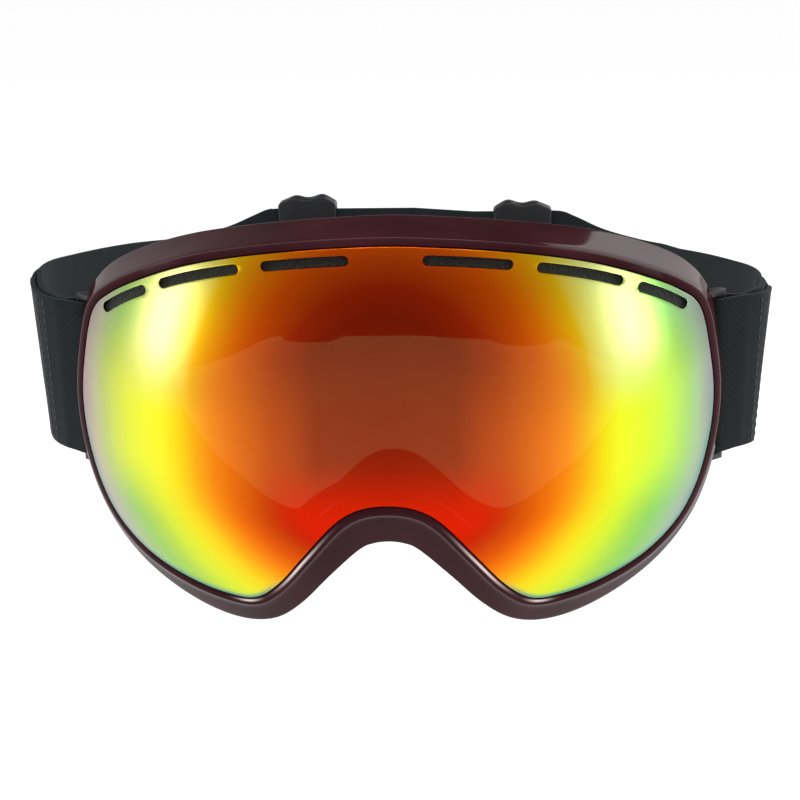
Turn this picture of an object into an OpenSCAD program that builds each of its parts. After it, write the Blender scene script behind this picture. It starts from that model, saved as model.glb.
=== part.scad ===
// Ski goggles: a spherical double lens in a glossy frame, a soft face frame
// with layered foam, two swivelling strap outriggers and an adjustable strap.
// Millimetres. +Z is up and the lens looks along -Y. The origin is the middle
// of the brow line, where the fleece meets the forehead.

/* [Lens] */
// Width of the visible lens
lens_w = 176; // [146:1:182]
// Height of the visible lens
lens_h = 98; // [82:1:118]
// Radius of the sphere that the outer lens follows
lens_r = 100; // [98:1:120]
// How far the middle of the lens stands in front of the forehead
lens_reach = 47; // [44:1:56]
// Thickness of the outer lens
lens_t = 1.5; // [1:0.1:2]
// Air space between the two lenses
lens_gap = 4; // [3:0.2:5]
// Thickness of the inner lens
inner_lens_t = 0.8; // [0.6:0.1:1.2]
// Height of a vent slot in the lens
slot_h = 2.6; // [1.5:0.1:3]
// Width of the foam spacer between the lenses
gasket_w = 4; // [3:0.5:5]

/* [Frame] */
// Width of the raised rim round the lens
rim_w = 2.6; // [2:0.1:3.4]
// How far the rim stands proud of the lens
rim_proud = 0.9; // [0.4:0.1:1.5]
// Thickness of the frame wall
frame_wall = 2.2; // [1.8:0.1:2.6]
// Thickness of the ledge that the lens rests on
ledge_t = 2.2; // [1.6:0.1:3]
// Gap between the lens and the frame
lens_clear = 0.2; // [0.1:0.05:0.4]

/* [Face side] */
// How far the face foam sits inside the lens at each side
face_inset_x = 12; // [10:0.5:16]
// How far the face foam sits inside the lens at the top and bottom
face_inset_z = 6; // [5:0.5:9]
// Radius of the forehead and temples that the foam follows
face_r = 96; // [90:1:120]
// Thickness of the firm foam layer
base_foam_t = 6; // [4:0.5:8]
// Thickness of the soft foam layer
soft_foam_t = 7; // [5:0.5:9]
// Thickness of the fleece against the skin
fleece_t = 1.6; // [1:0.1:2.5]
// Wall of the soft face frame
face_wall = 1.8; // [1.4:0.1:2.4]
// Gap between layers that are bonded together
bond = 0.05; // [0.02:0.01:0.1]

/* [Strap] */
// Width of the strap
strap_w = 45; // [38:1:54]
// Thickness of the strap webbing
strap_t = 1.5; // [1.2:0.1:1.8]
// Gap between two layers of webbing
layer_gap = 0.35; // [0.3:0.05:0.6]
// How far the strap rises from the outriggers to the back of the head
strap_rise = 7; // [0:1:12]
// Distance from the forehead to the back of the strap
strap_reach = 150; // [146:1:158]

/* [Outriggers] */
// Radius of the hinge pin
pin_r = 1.5; // [1.2:0.1:1.8]
// Radial running clearance of the hinge
pin_clear = 0.06; // [0.03:0.01:0.1]
// Radius of the hinge barrel
barrel_r = 3.2; // [2.8:0.1:3.9]
// Height of the hinge barrel
barrel_h = 24; // [16:1:30]
// Distance from the hinge to the strap bar
arm_len = 10.6; // [10:0.1:12]
// How far back along the face frame's side wall the hinge sits
hinge_set = 9; // [7:0.5:10]
// Length of the tails of webbing past the strap bar
tail = 4.2; // [4:0.1:6]
// Gap between those tails and the strap, which stay apart as the outriggers swing
swing_gap = 1.8; // [1.2:0.1:3]
// Radius of the strap bar
bar_r = 1.8; // [1.5:0.1:2]

/* [Adjusters] */
// Length of an adjuster along the strap
adjuster_l = 20; // [18:1:24]
// Distance of each adjuster from the middle of the back
adjuster_x = 37; // [34:1:38]
// Thickness of the adjuster's bars and rails
adjuster_t = 2.4; // [2:0.1:3]
// Gap between the adjuster and the webbing
adjuster_clear = 0.3; // [0.3:0.05:0.5]

/* [Hidden] */

frame_color = "#4a1f26";
soft_black = "#22262a";
foam_gray = "#3a3d42";
webbing = "#2c3235";

// Outlines are drawn for one half, from the top centre to the nose, and are
// stretched to the sizes above. Every list has the same number of points, so
// that the same place on each outline has the same number.
drawn_lens = [176, 98];
lens_half = [
    [0, 49], [14, 48.4], [28, 47], [42, 44.7], [55, 41.4], [67, 36.7], [77, 31.3],
    [83.7, 25], [86.6, 13], [88, 0], [86.8, -13], [83.3, -26], [78, -35], [69, -42],
    [57, -46.5], [46, -48.6], [37.5, -48.2], [30.5, -42.4], [22.7, -32.3],
    [14.2, -22], [7.5, -17.6], [0, -16.4]
];
drawn_face = [152, 86];
face_half = [
    [0, 43], [13, 42.6], [26, 41.2], [38, 39], [49, 35.8], [59, 31.2], [67.5, 25.5],
    [73, 18.5], [75.6, 9.5], [76, 0], [75, -11], [72, -21], [67, -29.5], [59.5, -36],
    [50, -40.6], [41, -43], [33, -43], [26.5, -38], [20, -29.5], [13, -21.5],
    [7, -18], [0, -17]
];
opening_half = [
    [0, 29], [11, 29], [22, 28.6], [33, 27.2], [43, 24.8], [52, 21], [59, 16],
    [63, 10.5], [65, 5], [65, -1.5], [63, -8], [59, -13.8], [54.5, -18.6],
    [49, -22.8], [43, -26.6], [37, -30], [29.5, -32], [22, -28.4], [16, -22.4],
    [10.5, -16.4], [5.5, -12.4], [0, -11]
];
// How far the sloping skirt of the frame spreads past the lens
skirt_half = [
    2.6, 2.7, 2.8, 2.9, 2.9, 3, 3.1, 3.2, 3.3, 3.3, 3.6, 4.2, 5.2, 6.6, 8.2, 9.2,
    8.8, 8.6, 9, 10, 10.6, 10.6
];
// How far the rear edge of the frame spreads past the skirt
rear_half = [
    1, 1, 1.1, 1.3, 1.8, 2.4, 2.6, 1.2, 0.2, 0, 0, 0, 0, 0, 0, 0, -0.4, -0.5,
    -0.6, -0.8, -1, -1
];
// How deep the frame wall is behind the skirt
depth_half = [
    26, 25.5, 25, 25, 24, 21, 15, 8, 6, 5.5, 5, 4, 4, 6, 8, 10, 12, 14, 16, 16, 15, 14
];
// Width of the ledge behind the lens, narrow where the vent slots are
ledge_half = [
    1.2, 1.2, 1.2, 1.2, 1.2, 1.2, 1.2, 2.4, 3.4, 3.4, 3.4, 3.4, 3.4, 3.4, 3.4,
    3.4, 3.4, 3.4, 3.4, 3.4, 3.4, 3.4
];
// How far the face stands forward of the forehead's curve: cheeks and nose
face_rise_half = [
    0, 0, 0, 0, 0, 0, 0, 0, 0, 0, 0, 0, 0, 0, 0.5, 1.5, 3, 5, 7.5, 9.5, 10.5, 11
];

// Points along each stretch between two drawn points
steps = 3;
n_half = len(lens_half);
n_full = 2 * (n_half - 1);
n_ring = n_full * steps;
sphere_y = lens_r - lens_reach;
$fn = 48;

// A half outline closed by its mirror image
function mirrored(half) = [
    for (i = [0:n_full - 1])
        i < n_half ? half[i] : [-half[n_full - i][0], half[n_full - i][1]]
];
function mirrored_values(half) = [
    for (i = [0:n_full - 1]) i < n_half ? half[i] : half[n_full - i]
];
// Smooth curve through four neighbours, t from 0 to 1 between b and c
function smooth(a, b, c, d, t) =
    b + 0.5 * t * ((c - a) + t * ((2 * a - 5 * b + 4 * c - d) + t * (3 * (b - c) + d - a)));
function ring(points) = [
    for (i = [0:n_full - 1])
        for (s = [0:steps - 1])
            smooth(
                points[(i + n_full - 1) % n_full], points[i],
                points[(i + 1) % n_full], points[(i + 2) % n_full], s / steps
            )
];
function stretched(points, size, drawn) = [
    for (p = points) [p[0] * size[0] / drawn[0], p[1] * size[1] / drawn[1]]
];
function unit(v) = v / norm(v);
// Outward normals of a clockwise ring of [x, z] points
function normals(points) = [
    for (i = [0:n_ring - 1])
        let (d = points[(i + 1) % n_ring] - points[(i + n_ring - 1) % n_ring])
            unit([-d[1], d[0]])
];
function moved(points, dirs, amounts) = [
    for (i = [0:n_ring - 1]) points[i] + dirs[i] * amounts[i]
];
function same(value) = [for (i = [0:n_ring - 1]) value];
// Y of the lens sphere, depth behind its outer surface
function lens_y(p, depth) =
    sphere_y - sqrt(max(1, pow(lens_r - depth, 2) - p[0] * p[0] - p[1] * p[1]));
function lens_ys(points, depth) = [for (p = points) lens_y(p, depth)];
function placed(points, ys) = [
    for (i = [0:n_ring - 1]) [points[i][0], ys[i], points[i][1]]
];

lens_ring = ring(stretched(mirrored(lens_half), [lens_w, lens_h], drawn_lens));
face_size = [lens_w - 2 * face_inset_x, lens_h - 2 * face_inset_z];
face_ring = ring(stretched(mirrored(face_half), face_size, drawn_face));
open_ring = ring(stretched(mirrored(opening_half), face_size, drawn_face));
out = normals(lens_ring);
face_out = normals(face_ring);
skirt = ring(mirrored_values(skirt_half));
rear = ring(mirrored_values(rear_half));
depth = ring(mirrored_values(depth_half));
ledge = ring(mirrored_values(ledge_half));
face_rise = ring(mirrored_values(face_rise_half));

// Y of the skin, of the flange that carries the foam, and of the face wall
face_t = base_foam_t + soft_foam_t + fleece_t + 3 * bond;
function face_ys(points, lift) = [
    for (i = [0:n_ring - 1])
        face_r - sqrt(face_r * face_r - points[i][0] * points[i][0]) - face_rise[i] - lift
];

// A closed ring: every loop is one corner of its cross-section. The last strip is
// split the other way, so that the faces of two stacked layers stay parallel.
module ring_solid(loops) {
    k = len(loops);
    points = [for (i = [0:n_ring - 1]) for (j = [0:k - 1]) loops[j][i]];
    faces = [
        for (i = [0:n_ring - 1])
            for (j = [0:k - 1])
                let (a = (i + 1) % n_ring, b = (j + 1) % k)
                    each b > 0
                        ? [
                            [i * k + j, i * k + b, a * k + b],
                            [i * k + j, a * k + b, a * k + j]
                        ]
                        : [
                            [i * k + j, i * k + b, a * k + j],
                            [i * k + b, a * k + b, a * k + j]
                        ]
    ];
    polyhedron(points, faces);
}

// An [x, z] outline stood up along Y
module upright(points) {
    rotate([90, 0, 0])
        translate([0, 0, -sphere_y])
            linear_extrude(sphere_y + lens_r)
                polygon(points);
}

// The space between two depths behind the lens surface
module lens_shell(from, to) {
    translate([0, sphere_y, 0])
        difference() {
            sphere(r = lens_r - from, $fn = 96);
            sphere(r = lens_r - to, $fn = 96);
        }
}

module mirror_copy(side) {
    if (side > 0) children();
    else mirror([1, 0, 0]) children();
}

/* Lens and vents */
vent_steps = 8 * steps;
vent_edge = [for (i = [0:vent_steps]) lens_ring[i]];
vent_out = [for (i = [0:vent_steps]) out[i]];
// Where each slot starts and ends along the lens edge, as a share of its half width
slot_spans = [[0.124, 0.359], [0.458, 0.693], [0.769, 0.908]];
slot_inset = [3.1, 2.4];
function edge_x(x) = lookup(x, [for (i = [0:vent_steps]) [vent_edge[i][0], vent_edge[i][1]]]);
function edge_nx(x) = lookup(x, [for (i = [0:vent_steps]) [vent_edge[i][0], vent_out[i][0]]]);
function edge_nz(x) = lookup(x, [for (i = [0:vent_steps]) [vent_edge[i][0], vent_out[i][1]]]);
function slot_line(x, inset) =
    [x, edge_x(x)] - unit([edge_nx(x), edge_nz(x)]) * inset;
function slot_depth(x) =
    slot_inset[0] + (slot_inset[1] - slot_inset[0]) * 2 * x / lens_w;
slot_parts = 6;

module slot(span) {
    x0 = span[0] * lens_w / 2;
    x1 = span[1] * lens_w / 2;
    xs = [for (i = [0:slot_parts]) x0 + (x1 - x0) * i / slot_parts];
    upper = [for (x = xs) slot_line(x, slot_depth(x) - slot_h / 2)];
    lower = [for (i = [slot_parts:-1:0]) slot_line(xs[i], slot_depth(xs[i]) + slot_h / 2)];
    upright(concat(upper, round_end(x1, 1), lower, round_end(x0, -1)));
}

// Half a circle round the end of a slot
function round_end(x, way) =
    let (c = slot_line(x, slot_depth(x)), up = (slot_line(x, 0) - c) / norm(slot_line(x, 0) - c))
        [
            for (a = [30:30:150])
                c + slot_h / 2 * way * (up * cos(a) + [up[1], -up[0]] * sin(a))
        ];

module outer_lens() {
    color("#e8641e")
        difference() {
            intersection() {
                lens_shell(0, lens_t);
                upright(lens_ring);
            }
            for (side = [-1, 1])
                mirror_copy(side)
                    for (span = slot_spans) slot(span);
        }
}

// The spacer follows the line that leaves the lens edge squarely
gasket_top = lens_t + bond;
gasket_bottom = lens_t + lens_gap - bond;
// The vent foam takes this much of the lens behind the slots
vent_foam_w = 3.4;
gasket_inset = [
    for (i = [0:n_ring - 1])
        (gasket_bottom + inner_lens_t) * norm(lens_ring[i]) / lens_r
            + (ledge[i] < 2 ? ledge[i] + 0.8 : 2.6)
];
gasket_outer = moved(lens_ring, out, -gasket_inset);
gasket_inner = moved(gasket_outer, out, same(-gasket_w));

module lens_gasket() {
    color(foam_gray)
        intersection() {
            lens_shell(gasket_top, gasket_bottom);
            difference() {
                upright(gasket_outer);
                upright(gasket_inner);
            }
        }
}

module inner_lens() {
    color("#c9b26a")
        intersection() {
            lens_shell(lens_t + lens_gap, lens_t + lens_gap + inner_lens_t);
            upright(gasket_outer);
        }
}

vent_start = 2;
vent_foam_top = lens_t + bond;
vent_foam_bottom = lens_t + 1.6;
module vent_foam(side) {
    first = vent_start;
    last = vent_steps - 5;
    top_line = [for (i = [first:last]) lens_ring[i] - out[i] * (ledge[i] + 0.3)];
    low_line = [
        for (i = [last:-1:first])
            lens_ring[i] - out[i] * (gasket_inset[i] - 0.15)
    ];
    color("#2b2f2c")
        mirror_copy(side)
            intersection() {
                lens_shell(vent_foam_top, vent_foam_bottom);
                upright(concat(top_line, low_line));
            }
}

/* Frame */
seat_y = lens_t + lens_clear;
groove = moved(lens_ring, out, same(lens_clear));
rim_in = moved(lens_ring, out, same(lens_clear + 0.2));
rim_mid = moved(lens_ring, out, same(0.55 * rim_w));
rim_out = moved(lens_ring, out, same(rim_w));
skirt_edge = moved(lens_ring, out, [for (i = [0:n_ring - 1]) max(rim_w + 0.3, skirt[i])]);
ledge_in = moved(lens_ring, out, -ledge);
rear_edge = moved(skirt_edge, out, rear);
rear_in = moved(rear_edge, out, same(-frame_wall));
ledge_y = lens_ys(ledge_in, seat_y);
groove_y = lens_ys(groove, seat_y);
skirt_y = lens_ys(skirt_edge, 0);
rear_y = skirt_y + depth;

module front_frame() {
    color(frame_color)
        ring_solid([
            placed(ledge_in, ledge_y),
            placed(groove, groove_y),
            placed(rim_in, lens_ys(rim_in, 0) - same(0.7 * rim_proud)),
            placed(rim_mid, lens_ys(rim_mid, 0) - same(rim_proud)),
            placed(rim_out, lens_ys(rim_out, 0) - same(0.4 * rim_proud)),
            placed(skirt_edge, skirt_y + same(0.6)),
            placed(rear_edge, rear_y),
            placed(rear_in, rear_y),
            placed(groove, groove_y + same(ledge_t)),
            placed(ledge_in, ledge_y + same(ledge_t))
        ]);
}

/* Face side */
wall_front = moved(lens_ring, out, same(-0.3));
wall_front_in = moved(wall_front, out, same(-face_wall));
wall_front_y = [for (i = [0:n_ring - 1]) groove_y[i] + ledge_t + lens_clear];
flange_y = face_ys(face_ring, face_t);
flange_in_y = face_ys(open_ring, face_t);
face_in = moved(face_ring, face_out, same(-face_wall));

module face_frame() {
    color(soft_black)
        ring_solid([
            placed(wall_front_in, wall_front_y),
            placed(wall_front, wall_front_y),
            placed(face_ring, flange_y - same(face_wall)),
            placed(face_ring, flange_y),
            placed(open_ring, flange_in_y),
            placed(open_ring, flange_in_y - same(face_wall)),
            placed(face_in, face_ys(face_in, face_t + face_wall))
        ]);
}

// A foam layer between two heights above the flange
module foam_layer(low, high) {
    ring_solid([
        placed(face_ring, face_ys(face_ring, face_t - low)),
        placed(face_ring, face_ys(face_ring, face_t - high)),
        placed(open_ring, face_ys(open_ring, face_t - high)),
        placed(open_ring, face_ys(open_ring, face_t - low))
    ]);
}

module face_foam_base() {
    color(foam_gray) foam_layer(bond, bond + base_foam_t);
}

module face_foam_soft() {
    low = 2 * bond + base_foam_t;
    color("#4a4d52") foam_layer(low, low + soft_foam_t);
}

module face_fleece() {
    low = face_t - fleece_t;
    color("#1b1d20") foam_layer(low, face_t);
}

/* Outriggers */
wall_a = [wall_front[9 * steps][0], wall_front_y[9 * steps]];
wall_b = [face_ring[9 * steps][0], flange_y[9 * steps] - face_wall];
wall_dir = unit(wall_b - wall_a);
wall_normal = [-wall_dir[1], wall_dir[0]] * (wall_dir[0] < 0 ? -1 : 1);
plate_t = 1.6;
bracket_gap = 0.3;
hinge = wall_a + wall_dir * hinge_set + wall_normal * (bracket_gap + plate_t + barrel_r + 0.6);
arm_dir = unit([1, 0.95]);
bar = hinge + arm_dir * arm_len;
lug_t = 3.2;
lug_gap = 0.3;
bar_h = strap_w + 1.6;
rail_t = 1.6;

module bracket() {
    lug_z = barrel_h / 2 + lug_gap;
    plate_h = 2 * (lug_z + lug_t);
    angle = atan2(wall_dir[1], wall_dir[0]);
    base = wall_a + wall_dir * hinge_set + wall_normal * (bracket_gap + plate_t / 2);
    difference() {
        union() {
            translate([base[0], base[1], 0])
                rotate([0, 0, angle])
                    cube([10, plate_t, plate_h], center = true);
            for (s = [-1, 1])
                translate([0, 0, s * (lug_z + lug_t / 2)]) {
                    translate([hinge[0], hinge[1], 0])
                        cylinder(r = barrel_r, h = lug_t, center = true);
                    translate([(hinge[0] + base[0]) / 2, (hinge[1] + base[1]) / 2, 0])
                        rotate([0, 0, angle])
                            cube([2 * barrel_r, norm(hinge - base), lug_t], center = true);
                }
        }
        translate([hinge[0], hinge[1], 0])
            cylinder(r = pin_r + 0.02, h = plate_h + 2, center = true);
    }
}

module hinge_pin() {
    pin_l = barrel_h + 2 * (lug_gap + lug_t) + 0.6;
    color("silver")
        translate([hinge[0], hinge[1], 0])
            cylinder(r = pin_r, h = pin_l, center = true);
}

module outrigger() {
    web = barrel_r + 2;
    half = bar_h / 2 + rail_t;
    color(soft_black)
        translate([hinge[0], hinge[1], 0])
            rotate([0, 0, atan2(arm_dir[1], arm_dir[0])])
                difference() {
                    union() {
                        cylinder(r = barrel_r, h = barrel_h, center = true);
                        rotate([90, 0, 0])
                            linear_extrude(2 * bar_r, center = true)
                                difference() {
                                    polygon([
                                        [0, -barrel_h / 2], [barrel_r, -barrel_h / 2],
                                        [web - 1, -half], [arm_len, -half],
                                        [arm_len, half], [web - 1, half],
                                        [barrel_r, barrel_h / 2], [0, barrel_h / 2]
                                    ]);
                                    translate([web, -bar_h / 2])
                                        square([arm_len, bar_h]);
                                }
                        translate([arm_len, 0, 0])
                            cylinder(r = bar_r, h = 2 * half, center = true);
                    }
                    cylinder(r = pin_r + pin_clear, h = barrel_h + 2, center = true);
                }
}

/* Strap */
// The inner layer's middle line: x, y, share of the rise, lean outward. It is
// drawn for one place of the strap bar and follows the bar's real place.
strap_route = [
    [97.4, 31, 0.1, 2], [103, 36.4, 0.3, 4], [106.1, 46, 0.6, 6], [105.8, 59, 0.7, 6],
    [101.4, 76, 0.57, 5], [94.4, 95, 0.4, 4], [86.5, 114, 0.17, 3], [77.5, 131, 0, 2],
    [65, 144, 0.2, 1], [55, 148.6, 0.75, 0], [49.5, 149.7, 1, 0], [38, 150, 1, 0],
    [20, 150, 1, 0], [0, 150, 1, 0]
];
strap_parts = 3;
route_n = len(strap_route);
drawn_start = [97.4, 31];
drawn_back = [49.5, 150];
tail_dir = unit([1, 0.3]);
strap_start = bar + tail_dir * (tail + swing_gap);
function along(value, from, to) = min(1, max(0, (value - from) / (to - from)));
function route_point(p) = [
    p[0] + (strap_start[0] - drawn_start[0]) * along(p[0], drawn_back[0], drawn_start[0]),
    strap_start[1]
        + (strap_reach - strap_start[1]) * along(p[1], drawn_start[1], drawn_back[1]),
    p[2] * strap_rise,
    p[3]
];
function route_at(i) = route_point(strap_route[min(max(i, 0), route_n - 1)]);
side_line = [
    for (i = [0:route_n - 2])
        for (s = [0:strap_parts - 1])
            smooth(route_at(i - 1), route_at(i), route_at(i + 1), route_at(i + 2), s / strap_parts)
];
middle = route_at(route_n - 1);
function mirrored_end(p) = [-p[0], p[1], p[2], p[3]];
whole_line = concat(
    side_line, [middle],
    [for (i = [len(side_line) - 1:-1:0]) mirrored_end(side_line[i])]
);

// A strip of webbing along a line of [x, y, z, lean], shifted outward
module webbing_strip(line, shift, w) {
    n = len(line);
    corners = [
        for (i = [0:n - 1])
            let (
                a = line[max(i - 1, 0)], b = line[min(i + 1, n - 1)],
                t = unit([b[0] - a[0], b[1] - a[1]]),
                o = [t[1], -t[0], 0],
                up = [o[0] * sin(line[i][3]), o[1] * sin(line[i][3]), cos(line[i][3])],
                c = [line[i][0], line[i][1], line[i][2]]
            )
                for (q = [[-1, -1], [1, -1], [1, 1], [-1, 1]])
                    c + o * (shift + q[0] * strap_t / 2) + up * q[1] * w / 2
    ];
    sides = [
        for (i = [0:n - 2])
            for (j = [0:3])
                let (b = (j + 1) % 4, m = (i + 1) * 4)
                    each [[i * 4 + j, m + j, m + b], [i * 4 + j, m + b, i * 4 + b]]
    ];
    polyhedron(corners, concat([[0, 1, 2, 3]], sides, [[for (j = [3:-1:0]) (n - 1) * 4 + j]]));
}

layer_step = strap_t + layer_gap;
module strap() {
    color(webbing) webbing_strip(whole_line, 0, strap_w);
}

// The second layer runs from the outrigger to just before the adjuster
return_end = adjuster_x + adjuster_l / 2 + 1;
return_line = [for (p = side_line) if (p[0] > return_end) p];
module strap_return(side) {
    color(webbing)
        mirror_copy(side)
            webbing_strip(return_line, layer_step, strap_w);
}

// The webbing turned round the outrigger's bar, with two short tails
fold_gap = 0.15;
fold_in = bar_r + fold_gap;
fold_out = fold_in + strap_t;
module strap_fold() {
    color(webbing)
        translate([bar[0], bar[1], 0])
            rotate([0, 0, atan2(tail_dir[1], tail_dir[0])])
                linear_extrude(strap_w, center = true)
                    difference() {
                        union() {
                            circle(r = fold_out, $fn = 36);
                            translate([0, -fold_out]) square([tail, 2 * fold_out]);
                        }
                        circle(r = fold_in, $fn = 36);
                        translate([0, -fold_in]) square([2 * tail, 2 * fold_in]);
                    }
}

/* Adjusters */
channel_in = strap_reach - strap_t / 2 - adjuster_clear;
loop_in = strap_reach + strap_t / 2 + layer_gap;
channel_out = loop_in + strap_t + adjuster_clear;
channel_h = strap_w + 2 * adjuster_clear;
keeper_t = 1.5;
bar_w = 3.2;
window_w = (adjuster_l - 3 * bar_w) / 2;

module adjuster(side) {
    body_y0 = channel_in - keeper_t;
    body_y1 = channel_out + adjuster_t;
    body_h = channel_h + 2 * adjuster_t;
    color(soft_black)
        mirror_copy(side)
            translate([adjuster_x, 0, strap_rise])
                difference() {
                    translate([-adjuster_l / 2, body_y0, -body_h / 2])
                        cube([adjuster_l, body_y1 - body_y0, body_h]);
                    translate([-adjuster_l / 2 - 1, channel_in, -channel_h / 2])
                        cube([adjuster_l + 2, channel_out - channel_in, channel_h]);
                    for (s = [-1, 1])
                        translate([
                            s * (bar_w + window_w) / 2 - window_w / 2,
                            channel_out - 1, -channel_h / 2
                        ])
                            cube([window_w, adjuster_t + 2, channel_h]);
                }
}

module adjuster_loop(side) {
    gap = 0.2;
    in_w = bar_w + 2 * gap;
    in_y0 = channel_out - gap;
    in_y1 = channel_out + adjuster_t + gap;
    wrap_t = strap_t - 0.3;
    color(webbing)
        mirror_copy(side)
            translate([adjuster_x, 0, strap_rise])
                difference() {
                    translate([-in_w / 2 - wrap_t, in_y0 - wrap_t, -strap_w / 2])
                        cube([in_w + 2 * wrap_t, in_y1 - in_y0 + 2 * wrap_t, strap_w]);
                    translate([-in_w / 2, in_y0, -strap_w / 2 - 1])
                        cube([in_w, in_y1 - in_y0, strap_w + 2]);
                }
}

outer_lens();
lens_gasket();
inner_lens();
vent_foam(-1);  // left_vent_foam
vent_foam(1);  // right_vent_foam
front_frame();
face_frame();
face_foam_base();
face_foam_soft();
face_fleece();
color(soft_black) mirror_copy(-1) bracket();  // left_bracket
color(soft_black) bracket();  // right_bracket
mirror_copy(-1) hinge_pin();  // left_hinge_pin
hinge_pin();  // right_hinge_pin
mirror_copy(-1) outrigger();  // left_outrigger
outrigger();  // right_outrigger
mirror_copy(-1) strap_fold();  // left_strap_fold
strap_fold();  // right_strap_fold
strap();
strap_return(-1);  // left_strap_return
strap_return(1);  // right_strap_return
adjuster(-1);  // left_adjuster
adjuster(1);  // right_adjuster
adjuster_loop(-1);  // left_adjuster_loop
adjuster_loop(1);  // right_adjuster_loop
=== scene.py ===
import bpy, bmesh, math
from mathutils import Vector, Matrix, noise


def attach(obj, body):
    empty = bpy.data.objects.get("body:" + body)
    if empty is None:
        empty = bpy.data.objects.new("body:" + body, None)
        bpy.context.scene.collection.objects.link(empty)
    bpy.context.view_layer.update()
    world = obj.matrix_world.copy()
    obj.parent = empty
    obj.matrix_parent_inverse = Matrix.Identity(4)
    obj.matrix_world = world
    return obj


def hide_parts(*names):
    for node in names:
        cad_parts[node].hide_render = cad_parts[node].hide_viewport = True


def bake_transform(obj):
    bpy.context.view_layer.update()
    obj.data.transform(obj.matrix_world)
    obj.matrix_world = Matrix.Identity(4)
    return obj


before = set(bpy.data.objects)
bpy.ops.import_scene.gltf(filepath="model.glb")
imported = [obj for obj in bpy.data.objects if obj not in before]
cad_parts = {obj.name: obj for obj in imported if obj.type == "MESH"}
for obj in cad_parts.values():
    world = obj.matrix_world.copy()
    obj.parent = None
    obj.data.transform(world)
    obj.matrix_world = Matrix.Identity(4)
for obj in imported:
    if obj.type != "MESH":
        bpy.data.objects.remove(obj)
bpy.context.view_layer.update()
scene = bpy.context.scene
mm = 0.001

cameraView = {
    "distance": 0.560, "elevation": 14.5, "azimuth": 3.0, "roll": -0.94,
    "lens": 91.2, "shiftX": 0.00625,
}


def makeCamera(view):
    e, a, r = (math.radians(view[k]) for k in ("elevation", "azimuth", "roll"))
    back = Vector((math.sin(a) * math.cos(e), -math.cos(a) * math.cos(e), math.sin(e)))
    level = Vector((math.cos(a), math.sin(a), 0))
    right = level * math.cos(r) + back.cross(level) * math.sin(r)
    up = back.cross(right)
    data = bpy.data.cameras.new("camera")
    data.lens, data.sensor_width = view["lens"], 36
    data.shift_x = view["shiftX"]
    data.clip_end = 50
    cam = bpy.data.objects.new("camera", data)
    scene.collection.objects.link(cam)
    turn = Matrix((right, up, back)).transposed().to_4x4()
    cam.matrix_world = Matrix.Translation(back * view["distance"]) @ turn
    scene.camera = cam


makeCamera(cameraView)
print("camera done")

# One half from the top centre to the nose, in millimetres; the other half is its mirror image.
outline = {
    "lens": [(0, 49), (14, 48.4), (28, 47), (42, 44.7), (55, 41.4), (67, 36.7), (77, 31.3), (83.7, 25),
             (86.6, 13), (88, 0), (86.8, -13), (83.3, -26), (78, -35), (69, -42), (57, -46.5), (46, -48.6),
             (37.5, -48.2), (30.5, -42.4), (22.7, -32.3), (14.2, -22), (7.5, -17.6), (0, -16.4)],
    "face": [(0, 43), (13, 42.6), (26, 41.2), (38, 39), (49, 35.8), (59, 31.2), (67.5, 25.5), (73, 18.5),
             (75.6, 9.5), (76, 0), (75, -11), (72, -21), (67, -29.5), (59.5, -36), (50, -40.6), (41, -43),
             (33, -43), (26.5, -38), (20, -29.5), (13, -21.5), (7, -18), (0, -17)],
    "opening": [(0, 29), (11, 29), (22, 28.6), (33, 27.2), (43, 24.8), (52, 21), (59, 16), (63, 10.5),
                (65, 5), (65, -1.5), (63, -8), (59, -13.8), (54.5, -18.6), (49, -22.8), (43, -26.6),
                (37, -30), (29.5, -32), (22, -28.4), (16, -22.4), (10.5, -16.4), (5.5, -12.4), (0, -11)],
    "skirt": [2.6, 2.7, 2.8, 2.9, 2.9, 3, 3.1, 3.2, 3.3, 3.3, 3.6, 4.2, 5.2, 6.6, 8.2, 9.2, 8.8, 8.6, 9, 10,
              10.6, 10.6],
    "rear": [1, 1, 1.1, 1.3, 1.8, 2.4, 2.6, 1.2, 0.2, 0, 0, 0, 0, 0, 0, 0, -0.4, -0.5, -0.6, -0.8, -1, -1],
    "depth": [26, 25.5, 25, 25, 24, 21, 15, 8, 6, 5.5, 5, 4, 4, 6, 8, 10, 12, 14, 16, 16, 15, 14],
    "ledge": [1.2, 1.2, 1.2, 1.2, 1.2, 1.2, 1.2, 2.4, 3.4, 3.4, 3.4, 3.4, 3.4, 3.4, 3.4, 3.4, 3.4, 3.4, 3.4,
              3.4, 3.4, 3.4],
    "faceRise": [0] * 14 + [0.5, 1.5, 3, 5, 7.5, 9.5, 10.5, 11],
}
shape = {"lensRadius": 100, "sphereY": 53, "lensT": 1.5, "lensGap": 4, "innerT": 0.8, "faceRadius": 96,
         "foamBase": 6, "foamSoft": 7, "fleece": 1.6, "bond": 0.05, "stepsPerPoint": 6}
foamStack = shape["foamBase"] + shape["foamSoft"] + shape["fleece"] + 3 * shape["bond"]


def mirroredHalf(half):
    flip = lambda v: (-v[0], v[1]) if isinstance(v, tuple) else v
    return list(half) + [flip(v) for v in half[-2:0:-1]]


def smooth(a, b, c, d, t):  # curve through four neighbours
    return b + 0.5 * t * ((c - a) + t * ((2 * a - 5 * b + 4 * c - d) + t * (3 * (b - c) + d - a)))


def ring(half):
    points = [Vector(v) if isinstance(v, tuple) else v for v in mirroredHalf(half)]
    n, steps = len(points), shape["stepsPerPoint"]
    return [smooth(points[i - 1], points[i], points[(i + 1) % n], points[(i + 2) % n], s / steps)
            for i in range(n) for s in range(steps)]


def normals(points):
    n = len(points)
    steps = [points[(i + 1) % n] - points[i - 1] for i in range(n)]
    return [Vector((-d.y, d.x)).normalized() for d in steps]


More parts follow.
